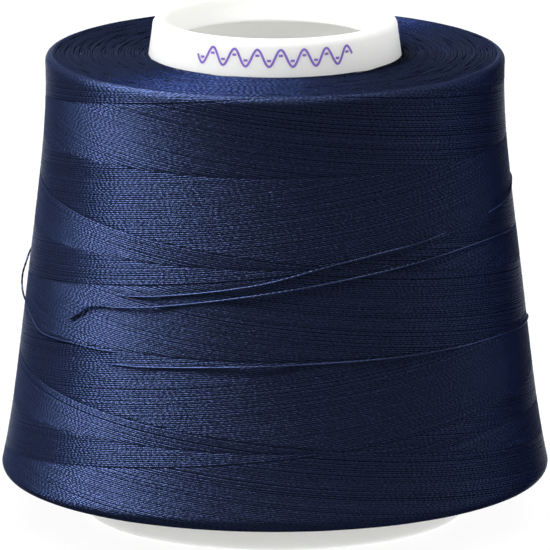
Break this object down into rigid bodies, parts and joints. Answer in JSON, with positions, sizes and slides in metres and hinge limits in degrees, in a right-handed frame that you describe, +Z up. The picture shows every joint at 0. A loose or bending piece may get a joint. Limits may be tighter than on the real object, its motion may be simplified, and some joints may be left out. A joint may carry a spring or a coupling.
{
  "type": "spool of sewing thread",
  "caption": "Cone-shaped spool of navy serger thread: a hollow white plastic cone core with cross-wound thread and a loose thread end.",
  "frame": {"origin": "on the axis of the core, at the bottom of its foot, where the spool stands", "axes": "+Z up along the core's axis, from the foot to the collar; -Y is the front"},
  "size_m": [0.076, 0.076, 0.0695],
  "materials": {
    "core_plastic": "smooth satin white moulding, slightly translucent",
    "thread": "navy spun polyester, two plies, soft sheen along the strands",
    "print_ink": "thin purple printed line"
  },
  "bodies": {
    "root": {"cone_core": "core_plastic", "thread_winding": "thread", "thread_end": "thread"}
  },
  "joints": []
}
